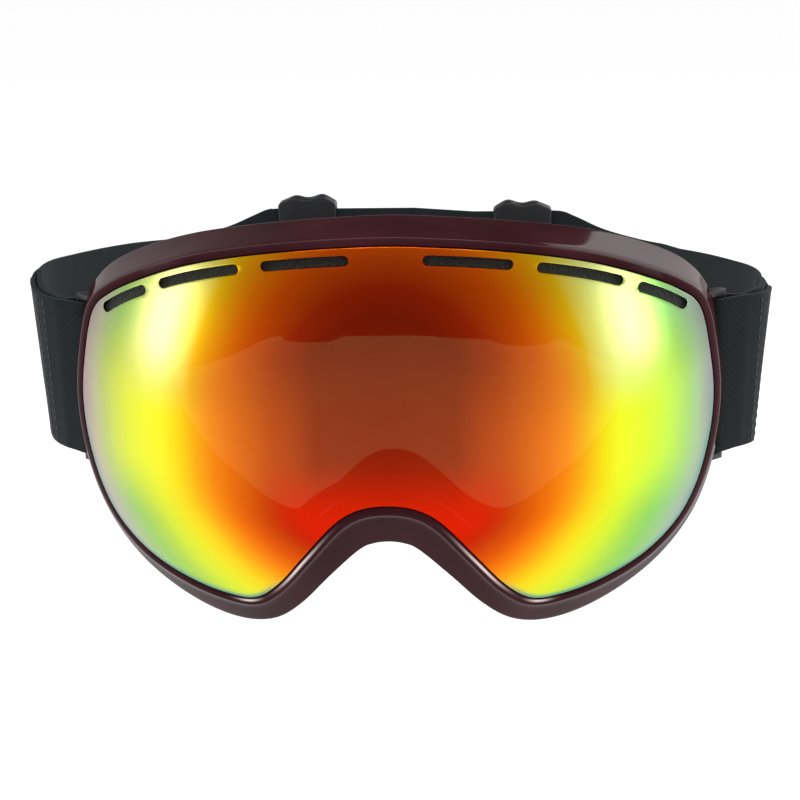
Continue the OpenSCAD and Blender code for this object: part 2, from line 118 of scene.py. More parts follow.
def sphereYAt(p, depth=0.0):
    r = shape["lensRadius"] - depth
    return shape["sphereY"] - math.sqrt(max(1, r * r - p.x * p.x - p.y * p.y))


def faceYAt(p, rise, lift):
    return shape["faceRadius"] - math.sqrt(shape["faceRadius"] ** 2 - p.x * p.x) - rise - lift


lensRing, faceRing, openRing = (ring(outline[k]) for k in ("lens", "face", "opening"))
skirt, rear, depth = (ring(outline[k]) for k in ("skirt", "rear", "depth"))
ledge, faceRise = (ring(outline[k]) for k in ("ledge", "faceRise"))
lensOut, faceOut, openOut = normals(lensRing), normals(faceRing), normals(openRing)
stations = range(len(lensRing))


def addLoop(bm, points, closed=True):  # an edge loop through points in millimetres
    verts = [bm.verts.new(Vector(p) * mm) for p in points]
    pairs = list(zip(verts, verts[1:])) + ([(verts[-1], verts[0])] if closed else [])
    return verts, [bm.edges.new(p) for p in pairs]


def loft(bm, loops, closed=True, wrap=False, caps=False):
    made = [addLoop(bm, points, closed) for points in loops]
    for (_, a), (_, b) in zip(made, made[1:] + (made[:1] if wrap else [])):
        bmesh.ops.bridge_loops(bm, edges=a + b)
    if caps:
        for verts, edges in (made[0], made[-1]):
            bmesh.ops.contextual_create(bm, geom=edges)
    return [verts for verts, _ in made]


def toObject(bm, name, recalc=True):
    if recalc:
        bmesh.ops.recalc_face_normals(bm, faces=bm.faces)
    for f in bm.faces:
        f.smooth = True
    data = bpy.data.meshes.new(name)
    bm.to_mesh(data)
    bm.free()
    obj = bpy.data.objects.new(name, data)
    scene.collection.objects.link(obj)
    return obj


def bakeModifiers(obj, sharpAngle=None):
    depsgraph = bpy.context.evaluated_depsgraph_get()
    obj.data = bpy.data.meshes.new_from_object(obj.evaluated_get(depsgraph))
    obj.modifiers.clear()
    if sharpAngle:
        obj.data.set_sharp_from_angle(angle=math.radians(sharpAngle))
    return obj


def addSubdivision(obj, level=1):
    mod = obj.modifiers.new("subdivision", "SUBSURF")
    mod.levels = mod.render_levels = level


def dress(obj, material, body, nodes=()):
    if material:
        obj.data.materials.clear()
        obj.data.materials.append(material)
    if body:
        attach(obj, body)
    if nodes:
        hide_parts(*nodes)
    return obj


def toLinear(hexColor, alpha=1.0):
    parts = [int(hexColor[i:i + 2], 16) / 255 for i in (1, 3, 5)]
    return tuple(c / 12.92 if c <= 0.04045 else ((c + 0.055) / 1.055) ** 2.4 for c in parts) + (alpha,)


def addNode(tree, kind, inputs=None, **settings):
    node = tree.nodes.new(kind)
    for name, value in settings.items():
        setattr(node, name, value)
    for name, value in (inputs or {}).items():
        if isinstance(value, bpy.types.NodeSocket):
            tree.links.new(value, node.inputs[name])
        else:
            node.inputs[name].default_value = value
    return node


def newMaterial(name, **settings):
    mat = bpy.data.materials.new(name)
    mat.use_nodes = True
    shader = mat.node_tree.nodes["Principled BSDF"]
    for socket, value in settings.items():
        shader.inputs[socket].default_value = value
    return mat, mat.node_tree, shader


def fillRamp(node, stops):
    ramp = node.color_ramp
    while len(ramp.elements) < len(stops):
        ramp.elements.new(0.5)
    for element, (place, color) in zip(ramp.elements, sorted(stops)):
        element.position = place
        element.color = toLinear(color) if isinstance(color, str) else color
    return node


# Mirror coated polycarbonate, injection moulded and vacuum coated: the thin film turns from
# deep red in the middle through orange and yellow to green and a mauve rim.
coating = {
    "reach": 100.0,
    "round": [(0, "#871e08"), (0.26, "#8c1f08"), (0.316, "#a82909"), (0.406, "#da5607"), (0.45, "#ec7808"),
              (0.495, "#f3a20c"), (0.547, "#f2d016"), (0.595, "#e6e420"), (0.643, "#d0e62e"),
              (0.692, "#b0d646"),
              (0.739, "#94cc58"), (0.787, "#9cc07c"), (0.83, "#a8ac9c"), (0.88, "#8a7088"), (1, "#5a3350")],
    # level: the colours along mid height, partly a painted reflection of the side lights
    "level": [(0, "#871e08"), (0.18, "#8c2408"), (0.24, "#a63608"), (0.30, "#b74308"), (0.36, "#cb5a08"),
              (0.41, "#dc690a"), (0.46, "#e88010"), (0.51, "#eda512"), (0.56, "#efd216"), (0.61, "#f0ee28"),
              (0.66, "#e8f230"), (0.71, "#dcee3c"), (0.755, "#cce254"), (0.795, "#b8d06c"), (0.83, "#b4bc90"),
              (0.87, "#a48c94")],
    "warmEnd": "#fff0ea",
    "coolEnd": "#dafff0",
    "squeeze": 0.8,
    # the pale colour below is a painted highlight for the patch high on each side
    "paintedHighlight": "#fcfab4",
    "lowerRed": "#d21f04",
    "roughness": 0.27,
    "alpha": 0.93,
}


def makeLensCoating():
    mat, tree, shader = newMaterial("mirrorCoatedPolycarbonate", Metallic=1.0, Roughness=coating["roughness"],
                                    Alpha=coating["alpha"])
    coord = addNode(tree, "ShaderNodeTexCoord")
    split = addNode(tree, "ShaderNodeSeparateXYZ", {0: coord.outputs["Object"]})
    flat = addNode(tree, "ShaderNodeVectorMath", {0: coord.outputs["Object"], 1: (1, 0, coating["squeeze"])},
                   operation="MULTIPLY")
    # the cheeks curve away faster, so the bands crowd together there
    crowd = addNode(tree, "ShaderNodeMapRange", {0: split.outputs["Z"], 1: -0.022, 2: -0.050, 3: 0.0,
                                                 4: -0.0115})
    crowded = addNode(tree, "ShaderNodeCombineXYZ", {2: crowd.outputs[0]})
    bent = addNode(tree, "ShaderNodeVectorMath", {0: flat.outputs[0], 1: crowded.outputs[0]}, operation="ADD")
    radius = addNode(tree, "ShaderNodeVectorMath", {0: bent.outputs[0]}, operation="LENGTH")
    across = addNode(tree, "ShaderNodeMath", {0: split.outputs["X"]}, operation="ABSOLUTE")
    scaled = 1 / (coating["reach"] * mm)
    roundShare = addNode(tree, "ShaderNodeMath", {0: radius.outputs["Value"], 1: scaled},
                         operation="MULTIPLY")
    levelShare = addNode(tree, "ShaderNodeMath", {0: across.outputs[0], 1: scaled}, operation="MULTIPLY")
    roundColor = fillRamp(addNode(tree, "ShaderNodeValToRGB", {0: roundShare.outputs[0]}), coating["round"])
    levelColor = fillRamp(addNode(tree, "ShaderNodeValToRGB", {0: levelShare.outputs[0]}), coating["level"])
    # near mid height the level ramp draws the bands wider: partly the coating's colour, partly a painted
    # reflection of the side lights at that height
    height = addNode(tree, "ShaderNodeMath", {0: split.outputs["Z"]}, operation="ABSOLUTE")
    band = addNode(tree, "ShaderNodeMapRange", {0: height.outputs[0], 1: 0.008, 2: 0.030, 3: 1.0, 4: 0.0},
                   interpolation_type="SMOOTHSTEP")
    mixed = addNode(tree, "ShaderNodeMix", {0: band.outputs[0], 6: roundColor.outputs[0],
                                            7: levelColor.outputs[0]},
                    data_type="RGBA")
    # low in the middle the red is purer
    low = addNode(tree, "ShaderNodeMapRange", {0: split.outputs["Z"], 1: -0.002, 2: -0.024, 3: 0.0, 4: 1.0},
                  interpolation_type="SMOOTHSTEP")
    near = addNode(tree, "ShaderNodeMapRange", {0: radius.outputs["Value"], 1: 0.026, 2: 0.040, 3: 1.0,
                                                4: 0.0},
                   interpolation_type="SMOOTHSTEP")
    lowShare = addNode(tree, "ShaderNodeMath", {0: low.outputs[0], 1: near.outputs[0]}, operation="MULTIPLY")
    redder = addNode(tree, "ShaderNodeMix", {0: lowShare.outputs[0], 6: mixed.outputs[2],
                                             7: toLinear(coating["lowerRed"])}, data_type="RGBA")
    # a painted highlight: a paler patch high on each side, standing in for the side lights' reflection
    rise = addNode(tree, "ShaderNodeMapRange", {0: split.outputs["Z"], 1: 0.002, 2: 0.022, 3: 0.0, 4: 0.9},
                   interpolation_type="SMOOTHSTEP")
    highlightRing = fillRamp(addNode(tree, "ShaderNodeValToRGB", {0: roundShare.outputs[0]}), [
        (0.53, (0, 0, 0, 1)), (0.62, (0.75, 0.75, 0.75, 1)), (0.66, (0.75, 0.75, 0.75, 1)),
        (0.77, (0, 0, 0, 1))])
    paintedHighlightShare = addNode(tree, "ShaderNodeMath", {0: rise.outputs[0], 1: highlightRing.outputs[0]},
                        operation="MULTIPLY")
    withPaintedHighlight = addNode(tree, "ShaderNodeMix", {0: paintedHighlightShare.outputs[0], 6: redder.outputs[2],
                                            7: toLinear(coating["paintedHighlight"])}, data_type="RGBA")
    # the film turns teal along the cut edge
    insetMap = addNode(tree, "ShaderNodeUVMap", uv_map="inset")
    uv = addNode(tree, "ShaderNodeSeparateXYZ", {0: insetMap.outputs[0]})
    edge = fillRamp(addNode(tree, "ShaderNodeValToRGB", {0: uv.outputs["Y"]}), [
        (0, (1, 1, 1, 1)), (0.06, (0.8, 0.8, 0.8, 1)), (0.12, (0.2, 0.2, 0.2, 1)), (0.22, (0, 0, 0, 1))])
    outside = addNode(tree, "ShaderNodeMapRange", {0: radius.outputs["Value"], 1: 0.048, 2: 0.060},
                      interpolation_type="SMOOTHSTEP")
    lowRim = addNode(tree, "ShaderNodeMapRange", {0: split.outputs["Z"], 1: 0.010, 2: -0.012, 3: 0.0, 4: 0.9})
    rimShare = addNode(tree, "ShaderNodeMath", {0: outside.outputs[0], 1: lowRim.outputs[0]},
                       operation="MULTIPLY")
    edgeShare = addNode(tree, "ShaderNodeMath", {0: edge.outputs[0], 1: rimShare.outputs[0]},
                        operation="MULTIPLY")
    teal = addNode(tree, "ShaderNodeMix", {0: edgeShare.outputs[0], 6: withPaintedHighlight.outputs[2],
                                           7: toLinear("#3f8f86")},
                   data_type="RGBA")
    # one end of the lens is a little warmer and the other cooler
    along = addNode(tree, "ShaderNodeMapRange", {0: split.outputs["X"], 1: -0.088, 2: 0.088})
    ends = fillRamp(addNode(tree, "ShaderNodeValToRGB", {0: along.outputs[0]}), [
        (0, coating["warmEnd"]), (0.25, "#ffffff"), (0.75, "#ffffff"), (1, coating["coolEnd"])])
    turned = addNode(tree, "ShaderNodeMix", {0: 1.0, 6: teal.outputs[2], 7: ends.outputs[0]},
                     data_type="RGBA",
                     blend_type="MULTIPLY")
    tree.links.new(turned.outputs[2], shader.inputs["Base Color"])
    return mat


lensCoating = makeLensCoating()


def makeTinted(name, body, tint, open):
    # clear sheet seen through: a faint gloss over a tint, with scuffs that vary the shine
    mat, tree, shader = newMaterial(name, IOR=1.5)
    shader.inputs["Base Color"].default_value = toLinear(body)
    shader.inputs["Specular IOR Level"].default_value = 0.2
    coord = addNode(tree, "ShaderNodeTexCoord")
    scuff = addNode(tree, "ShaderNodeTexNoise", {0: coord.outputs["Object"], "Scale": 90.0, "Detail": 3.0})
    dull = addNode(tree, "ShaderNodeMapRange", {0: scuff.outputs[0], 3: 0.04, 4: 0.14})
    tree.links.new(dull.outputs[0], shader.inputs["Roughness"])
    through = addNode(tree, "ShaderNodeBsdfTransparent", {"Color": toLinear(tint)})
    both = addNode(tree, "ShaderNodeMixShader", {0: open, 1: shader.outputs[0], 2: through.outputs[0]})
    tree.links.new(both.outputs[0], tree.nodes["Material Output"].inputs["Surface"])
    return mat


# Uncoated polycarbonate behind the film, and vacuum formed cellulose propionate with a green tint.
clearBack = makeTinted("clearPolycarbonate", "#101210", "#ffffff", 0.96)
clearInner = makeTinted("tintedPropionate", "#141a14", "#c6cfa9", 0.92)

# Injection moulded TPU with a burgundy gloss paint: wet-looking, with a slight orange peel and
# a mauve cast where the clear coat catches the light.
# The pale crest and lip colours are painted highlights, standing in for light caught on the crest bead and
# the lens lip.
paint = {"deep": "#2b0f13", "light": "#38181e", "crestHighlight": "#8b6e70", "crestHighlightShare": 0.3, "lipHighlight": "#f0ddd8",
         "peel": 1.6, "drift": 38.0}


def makeFramePaint():
    mat, tree, shader = newMaterial("burgundyGlossPaint", Roughness=0.30, IOR=1.5)
    shader.inputs["Specular IOR Level"].default_value = 0.0
    shader.inputs["Coat Roughness"].default_value = 0.05
    shader.inputs["Coat IOR"].default_value = 1.4
    coord = addNode(tree, "ShaderNodeTexCoord")
    drift = addNode(tree, "ShaderNodeTexNoise", {0: coord.outputs["Object"], "Scale": paint["drift"],
                                                 "Detail": 2.0})
    color = fillRamp(addNode(tree, "ShaderNodeValToRGB", {0: drift.outputs[0]}),
                     [(0.35, paint["deep"]), (0.68, paint["light"])])
    peel = addNode(tree, "ShaderNodeTexNoise", {0: coord.outputs["Object"], "Scale": 1 / (paint["peel"] * mm),
                                                "Detail": 1.0})
    bump = addNode(tree, "ShaderNodeBump", {"Strength": 0.25, "Distance": 0.00003, "Height": peel.outputs[0]})
    haze = addNode(tree, "ShaderNodeMapRange", {0: drift.outputs[0], 3: 0.24, 4: 0.36})
    # painted highlights: a fine pale line along the crest and along the lens lip, standing in for light
    # caught there
    rimMap = addNode(tree, "ShaderNodeUVMap", uv_map="rim")
    rim = addNode(tree, "ShaderNodeSeparateXYZ", {0: rimMap.outputs[0]})
    share = paint["crestHighlightShare"]
    crestHighlight = fillRamp(addNode(tree, "ShaderNodeValToRGB", {0: rim.outputs["Y"]}), [
        (0.0, (0, 0, 0, 1)), (0.46, (0, 0, 0, 1)), (0.50, (share, share, share, 1)), (0.54, (0, 0, 0, 1))])
    lipHighlight = fillRamp(addNode(tree, "ShaderNodeValToRGB", {0: rim.outputs["Y"]}), [
        (0.29, (0, 0, 0, 1)), (0.33, (1, 1, 1, 1)), (0.37, (0, 0, 0, 1))])
    lipHighlightShare = addNode(tree, "ShaderNodeMath", {0: lipHighlight.outputs[0], 1: rim.outputs["X"]}, operation="MULTIPLY",
                       use_clamp=True)
    # the crest highlight and then the lip highlight are painted into the base colour
    withCrestHighlight = addNode(tree, "ShaderNodeMix", {0: crestHighlight.outputs[0], 6: color.outputs[0],
                                             7: toLinear(paint["crestHighlight"])},
                     data_type="RGBA")
    withLipHighlight = addNode(tree, "ShaderNodeMix", {0: lipHighlightShare.outputs[0], 6: withCrestHighlight.outputs[2],
                                               7: toLinear(paint["lipHighlight"])}, data_type="RGBA")
    tree.links.new(withLipHighlight.outputs[2], shader.inputs["Base Color"])
    # painted shade: the strip beside the lens gets little clear coat, so this recess stays dark as if shaded
    coat = addNode(tree, "ShaderNodeMapRange", {0: rim.outputs["Y"], 1: 0.34, 2: 0.47, 3: 0.08, 4: 0.4})
    tree.links.new(coat.outputs[0], shader.inputs["Coat Weight"])
    tree.links.new(haze.outputs[0], shader.inputs["Roughness"])
    tree.links.new(bump.outputs[0], shader.inputs["Coat Normal"])
    return mat


framePaint = makeFramePaint()


def makeMoulded(name, dark, light, grain, rough):
    # moulded plastic with a fine spark-eroded grain: an even satin that breaks up the highlights
    mat, tree, shader = newMaterial(name, IOR=1.47)
    coord = addNode(tree, "ShaderNodeTexCoord")
    speck = addNode(tree, "ShaderNodeTexVoronoi", {0: coord.outputs["Object"], "Scale": 1 / (grain * mm)})
    cloud = addNode(tree, "ShaderNodeTexNoise", {0: coord.outputs["Object"], "Scale": 60.0, "Detail": 4.0})
    color = fillRamp(addNode(tree, "ShaderNodeValToRGB", {0: cloud.outputs[0]}), [(0.3, dark), (0.7, light)])
    dull = addNode(tree, "ShaderNodeMapRange", {0: cloud.outputs[0], 3: rough - 0.08, 4: rough + 0.08})
    bump = addNode(tree, "ShaderNodeBump", {"Strength": 0.5, "Distance": 0.00006, "Height": speck.outputs[0]})
    tree.links.new(color.outputs[0], shader.inputs["Base Color"])
    tree.links.new(dull.outputs[0], shader.inputs["Roughness"])
    tree.links.new(bump.outputs[0], shader.inputs["Normal"])
    return mat


tpuBlack = makeMoulded("satinTpu", "#141518", "#1f2125", 0.5, 0.5)
acetalBlack = makeMoulded("mouldedAcetal", "#101113", "#1b1c1f", 0.4, 0.4)


def makeFoam(name, dark, light, fleck, cell):
    # open-cell polyurethane foam, cut from a block: matt, with pores and the odd bright cell wall
    mat, tree, shader = newMaterial(name, Roughness=0.95)
    shader.inputs["Sheen Weight"].default_value = 0.2
    coord = addNode(tree, "ShaderNodeTexCoord")
    pores = addNode(tree, "ShaderNodeTexVoronoi", {0: coord.outputs["Object"], "Scale": 1 / (cell * mm)})
    sparkle = addNode(tree, "ShaderNodeTexNoise", {0: coord.outputs["Object"], "Scale": 2.2 / (cell * mm),
                                                   "Detail": 2.0})
    color = fillRamp(addNode(tree, "ShaderNodeValToRGB", {0: pores.outputs[0]}),
                     [(0.15, dark), (0.75, light)])
    bright = addNode(tree, "ShaderNodeMapRange", {0: sparkle.outputs[0], 1: 0.66, 2: 0.74})
    speckled = addNode(tree, "ShaderNodeMix", {0: bright.outputs[0], 6: color.outputs[0], 7: toLinear(fleck)},
                       data_type="RGBA")
    bump = addNode(tree, "ShaderNodeBump", {"Strength": 0.9, "Distance": 0.0003, "Height": pores.outputs[0]})
    tree.links.new(speckled.outputs[2], shader.inputs["Base Color"])
    tree.links.new(bump.outputs[0], shader.inputs["Normal"])
    return mat


ventFoamMat = makeFoam("reticulatedVentFoam", "#080908", "#191d19", "#5d6a54", 0.7)
foamGrey = makeFoam("firmFoam", "#2a2b2e", "#4a4c50", "#6a6c70", 0.8)
foamDark = makeFoam("softFoam", "#232528", "#3a3c40", "#55585c", 0.9)


def makeFleece():
    # brushed polyester fleece: short curled pile that glows softly at the edges
    mat, tree, shader = newMaterial("brushedFleece", Roughness=0.9)
    shader.inputs["Sheen Weight"].default_value = 0.6
    shader.inputs["Sheen Roughness"].default_value = 0.4
    coord = addNode(tree, "ShaderNodeTexCoord")
    pile = addNode(tree, "ShaderNodeTexNoise", {0: coord.outputs["Object"], "Scale": 1 / (0.8 * mm),
                                                "Detail": 6.0,
                                                "Distortion": 1.2})
    color = fillRamp(addNode(tree, "ShaderNodeValToRGB", {0: pile.outputs[0]}),
                     [(0.3, "#0f1012"), (0.7, "#2c2e32")])
    bump = addNode(tree, "ShaderNodeBump", {"Strength": 0.8, "Distance": 0.0004, "Height": pile.outputs[0]})
    tree.links.new(color.outputs[0], shader.inputs["Base Color"])
    tree.links.new(bump.outputs[0], shader.inputs["Normal"])
    return mat


fleeceMat = makeFleece()

# Elastic polyester webbing, knitted: a waffle of 1.9 mm cells crossed by a fine diagonal twill.
webbing = {"cell": 1.9, "twill": 1.1, "dark": "#080d0e", "light": "#161d1f", "waffle": 0.34}


def makeWebbing():
    mat, tree, shader = newMaterial("knittedElastic", Roughness=0.82)
    shader.inputs["Specular IOR Level"].default_value = 0.25
    shader.inputs["Sheen Weight"].default_value = 0.04
    shader.inputs["Sheen Roughness"].default_value = 0.5
    uv = addNode(tree, "ShaderNodeUVMap", uv_map="cloth")
    split = addNode(tree, "ShaderNodeSeparateXYZ", {0: uv.outputs[0]})
    waves = []
    for along, across, period in ((1, 0, webbing["cell"]), (0, 1, webbing["cell"]), (1, 1, webbing["twill"])):
        a = addNode(tree, "ShaderNodeMath", {0: split.outputs["X"], 1: along * math.tau / (period * mm)},
                    operation="MULTIPLY")
        b = addNode(tree, "ShaderNodeMath", {0: split.outputs["Y"], 1: across * math.tau / (period * mm),
                                             2: a.outputs[0]}, operation="MULTIPLY_ADD")
        waves.append(addNode(tree, "ShaderNodeMath", {0: b.outputs[0]}, operation="SINE"))
    waffle = addNode(tree, "ShaderNodeMath", {0: waves[0].outputs[0], 1: waves[1].outputs[0]},
                     operation="MULTIPLY")
    weave = addNode(tree, "ShaderNodeMath", {0: waffle.outputs[0], 1: webbing["waffle"], 2: 0.5},
                    operation="MULTIPLY_ADD")
    knit = addNode(tree, "ShaderNodeMath", {0: waves[2].outputs[0], 1: 0.22, 2: weave.outputs[0]},
                   operation="MULTIPLY_ADD")
    fuzz = addNode(tree, "ShaderNodeTexNoise", {0: uv.outputs[0], "Scale": 1 / (6 * mm), "Detail": 5.0})
    shade = addNode(tree, "ShaderNodeMath", {0: fuzz.outputs[0], 1: 0.5, 2: knit.outputs[0]},
                    operation="MULTIPLY_ADD")
    color = fillRamp(addNode(tree, "ShaderNodeValToRGB", {0: shade.outputs[0]}),
                     [(0.25, webbing["dark"]), (1.0, webbing["light"])])
    bump = addNode(tree, "ShaderNodeBump", {"Strength": 0.35, "Distance": 0.00018, "Height": knit.outputs[0]})
    tree.links.new(color.outputs[0], shader.inputs["Base Color"])
    tree.links.new(bump.outputs[0], shader.inputs["Normal"])
    return mat


webbingMat = makeWebbing()

# Spun polyester thread, a little shinier than the webbing it is sewn through.
threadMat, threadTree, threadShader = newMaterial("polyesterThread", Roughness=0.5)
threadTwist = addNode(threadTree, "ShaderNodeTexNoise", {
    0: addNode(threadTree, "ShaderNodeTexCoord").outputs["Object"], "Scale": 1 / (0.5 * mm), "Detail": 2.0})
threadColor = fillRamp(addNode(threadTree, "ShaderNodeValToRGB", {0: threadTwist.outputs[0]}),
                       [(0.3, "#1a1f21"), (0.7, "#454c4f")])
threadTree.links.new(threadColor.outputs[0], threadShader.inputs["Base Color"])

# Cold drawn stainless pin: fine lengthwise lines in a satin metal.
steelMat, steelTree, steelShader = newMaterial("drawnSteel", Metallic=1.0, Roughness=0.3)
steelMap = addNode(steelTree, "ShaderNodeMapping", {
    0: addNode(steelTree, "ShaderNodeTexCoord").outputs["Object"], "Scale": (6000.0, 6000.0, 200.0)})
steelLines = addNode(steelTree, "ShaderNodeTexNoise", {0: steelMap.outputs[0], "Scale": 1.0, "Detail": 2.0})
steelColor = fillRamp(addNode(steelTree, "ShaderNodeValToRGB", {0: steelLines.outputs[0]}),
                      [(0.2, "#8f9296"), (0.8, "#c2c4c7")])
steelRough = addNode(steelTree, "ShaderNodeMapRange", {0: steelLines.outputs[0], 3: 0.2, 4: 0.42})
steelTree.links.new(steelColor.outputs[0], steelShader.inputs["Base Color"])
steelTree.links.new(steelRough.outputs[0], steelShader.inputs["Roughness"])
print("materials done")

lensSettings = {"centre": (0, 8), "insets": [0, 0.25, 0.6, 1.1, 1.6, 2.3, 3.2, 4.6],
                "innerInsets": [0, 1.0, 3.0],
                "halfWidth": 88, "slotSpans": [(0.124, 0.359), (0.458, 0.693), (0.769, 0.908)],
                "slotDepth": (3.1, 2.4), "slotH": 2.6, "edgeBevel": 0.1,
                "domeRings": 24, "domeReach": 0.985, "ringMark": 2.0, "sharp": 35}


def unfolded(points):
    # a deep inset folds back on itself at a tight corner, so the points there are averaged out
    points, n, centre = list(points), len(points), Vector(lensSettings["centre"])
    for _ in range(60):
        wrong = [i for i in range(n) if (points[i] - centre).cross(points[(i + 1) % n] - centre) > -0.3]
        for i in wrong:
            for j in (i - 1, i, (i + 1) % n, (i + 2) % n):
                points[j] = (points[j - 1] + points[j] * 2 + points[(j + 1) % n]) / 4
    return points


def lensSheet(name, edge, outward, radiusDepth, insets, thickness, materials):
    bm = bmesh.new()
    uv = {}
    centre = Vector(lensSettings["centre"])
    rings = [unfolded([p - o * d for p, o in zip(edge, outward)]) for d in insets]
    marks = list(insets)
    inner = rings[-1]
    for k in range(1, lensSettings["domeRings"] + 1):
        share = 1 - k / lensSettings["domeRings"] * lensSettings["domeReach"]
        rings.append([centre + (p - centre) * share for p in inner])
        marks.append(insets[-1] + k * lensSettings["ringMark"])
    loops = [[(p.x, sphereYAt(p, radiusDepth), p.y) for p in r] for r in rings]
    made = loft(bm, loops)
    for mark, verts in zip(marks, made):
        for i, v in enumerate(verts):
            uv[v] = (i / len(verts), min(mark * 0.1, 1.0))
    pole = Vector((centre.x, sphereYAt(centre, radiusDepth), centre.y)) * mm
    bmesh.ops.pointmerge(bm, verts=made[-1], merge_co=pole)
    layer = bm.loops.layers.uv.new("inset")
    for f in bm.faces:
        for corner in f.loops:
            corner[layer].uv = uv[corner.vert]
    obj = toObject(bm, name)
    if obj.data.polygons[0].normal.y > 0:
        obj.data.flip_normals()
    solid = obj.modifiers.new("thickness", "SOLIDIFY")
    solid.thickness, solid.offset = thickness * mm, -1
    solid.use_quality_normals = True
    for mat in materials:
        obj.data.materials.append(mat)
    solid.material_offset = len(materials) - 1
    return obj


def slotOutline(span):
    width = lensSettings["halfWidth"]
    middle, end = lensSettings["slotDepth"]
    top = [(p.x, p.y, o) for p, o in zip(lensRing, lensOut)][:8 * shape["stepsPerPoint"] + 1]

    def edgeAt(x, inset):
        for (x0, z0, n0), (x1, z1, n1) in zip(top, top[1:]):
            if x0 <= x <= x1:
                t = (x - x0) / (x1 - x0)
                return Vector((x, z0 + (z1 - z0) * t)) - (n0.lerp(n1, t)).normalized() * inset

    def depthAt(x):
        return middle + (end - middle) * x / width

    x0, x1 = span[0] * width, span[1] * width
    xs = [x0 + (x1 - x0) * i / 10 for i in range(11)]
    half = lensSettings["slotH"] / 2

    def roundEnd(x, way):
        c = edgeAt(x, depthAt(x))
        up = (edgeAt(x, 0) - c).normalized()
        side = Vector((up.y, -up.x))
        return [c + half * way * (up * math.cos(math.radians(a)) + side * math.sin(math.radians(a)))
                for a in range(20, 170, 20)]

    return ([edgeAt(x, depthAt(x) - half) for x in xs] + roundEnd(x1, 1)
            + [edgeAt(x, depthAt(x) + half) for x in reversed(xs)] + roundEnd(x0, -1))


def slotCutter(span, side):
    bm = bmesh.new()
    verts, edges = addLoop(bm, [(p.x * side, -60, p.y) for p in slotOutline(span)])
    cap = bmesh.ops.contextual_create(bm, geom=edges)["faces"]
    grown = bmesh.ops.extrude_face_region(bm, geom=cap, use_keep_orig=True)["geom"]
    bmesh.ops.translate(bm, vec=(0, 0.09, 0), verts=[v for v in grown if isinstance(v, bmesh.types.BMVert)])
    bmesh.ops.recalc_face_normals(bm, faces=bm.faces)
    if bm.calc_volume(signed=True) < 0:
        bmesh.ops.reverse_faces(bm, faces=bm.faces)
    return toObject(bm, "slotCutter", recalc=False)


def makeOuterLens():
    obj = lensSheet("outerLens", lensRing, lensOut, 0, lensSettings["insets"], shape["lensT"],
                    [lensCoating, clearBack])
    cutters = [slotCutter(span, side) for span in lensSettings["slotSpans"] for side in (1, -1)]
    for cutter in cutters:
        cut = obj.modifiers.new("slot", "BOOLEAN")
        cut.operation, cut.object, cut.solver = "DIFFERENCE", cutter, "EXACT"
    bevel = obj.modifiers.new("edge", "BEVEL")
    bevel.width, bevel.segments, bevel.limit_method = lensSettings["edgeBevel"] * mm, 2, "ANGLE"
    bevel.angle_limit = math.radians(45)
    bakeModifiers(obj, lensSettings["sharp"])
    for cutter in cutters:
        bpy.data.objects.remove(cutter)
    return dress(obj, None, "mask", ["outer_lens"])


makeOuterLens()

# the spacer's outer edge, inside the lens's edge by the frame's ledge and the curve of the dome
gasketInset = [(shape["lensT"] + shape["lensGap"] + shape["innerT"]) * p.length / shape["lensRadius"]
               + (l + 0.8 if l < 2 else 2.6) for p, l in zip(lensRing, ledge)]
gasketRing = [p - o * d for p, o, d in zip(lensRing, lensOut, gasketInset)]


def makeInnerLens():
    obj = lensSheet("innerLens", gasketRing, lensOut, shape["lensT"] + shape["lensGap"],
                    lensSettings["innerInsets"], shape["innerT"], [clearInner])
    bakeModifiers(obj, lensSettings["sharp"])
    return dress(obj, None, "mask", ["inner_lens"])


makeInnerLens()


def makeGasket():
    bm = bmesh.new()
    section = [(0, 0.1), (0.12, 0), (3.88, 0), (4, 0.1), (4.05, 0.5), (4, 0.9), (3.88, 1), (0.12, 1),
               (0, 0.9),
               (-0.05, 0.5)]
    low, high = shape["lensT"] + 0.05, shape["lensT"] + shape["lensGap"] - 0.05
    loops = []
    for inset, share in section:
        points = [p - o * inset for p, o in zip(gasketRing, lensOut)]
        loops.append([(p.x, sphereYAt(p, low + (high - low) * share), p.y) for p in points])
    loft(bm, loops, wrap=True)
    obj = toObject(bm, "lensGasket")
    dress(obj, foamDark, "mask", ["lens_gasket"])


makeGasket()


def makeVentFoam(side):
    bm = bmesh.new()
    steps = shape["stepsPerPoint"]
    loops = []
    low, high = shape["lensT"] + 0.07, shape["lensT"] + 1.55
    for i in range(2 * steps // 3, 8 * steps - 7):
        top = ledge[i] + 0.35
        bottom = gasketInset[i] - 0.2
        row = []
        for share, level in [(0, 0.15), (0.05, 0), (0.35, 0), (0.65, 0), (0.95, 0), (1, 0.15), (1, 0.85),
                             (0.95, 1),
                             (0.5, 1), (0.05, 1), (0, 0.85)]:
            p = lensRing[i] - lensOut[i] * (top + (bottom - top) * share)
            rough = 0.12 * noise.noise(Vector((p.x * 0.7, share * 5, level * 3)))
            row.append((p.x * side, sphereYAt(p, low + (high - low) * level + abs(rough)), p.y))
        loops.append(row)
    loft(bm, loops, caps=True)
    name = "left" if side < 0 else "right"
    obj = toObject(bm, name + "VentFoam")
    dress(obj, ventFoamMat, "mask", [name + "_vent_foam"])


for side in (-1, 1):
    makeVentFoam(side)
print("lenses done")


# painted highlight: how much the lip line is lightened round the rim, standing in for an overhead light
# caught where the lip faces up
def paintedLipHighlight(turn):  # strongest on the two flanks of the nose, where the lip faces up
    half = min(turn, 1 - turn) * 2
    return math.exp(-((half - 0.842) / 0.03) ** 2) + math.exp(-((half - 0.75) / 0.014) ** 2)


frameSettings = {"rimW": 2.6, "proud": 0.9, "crestAt": 2.4, "wall": 2.2, "ledgeT": 2.2, "clear": 0.2}


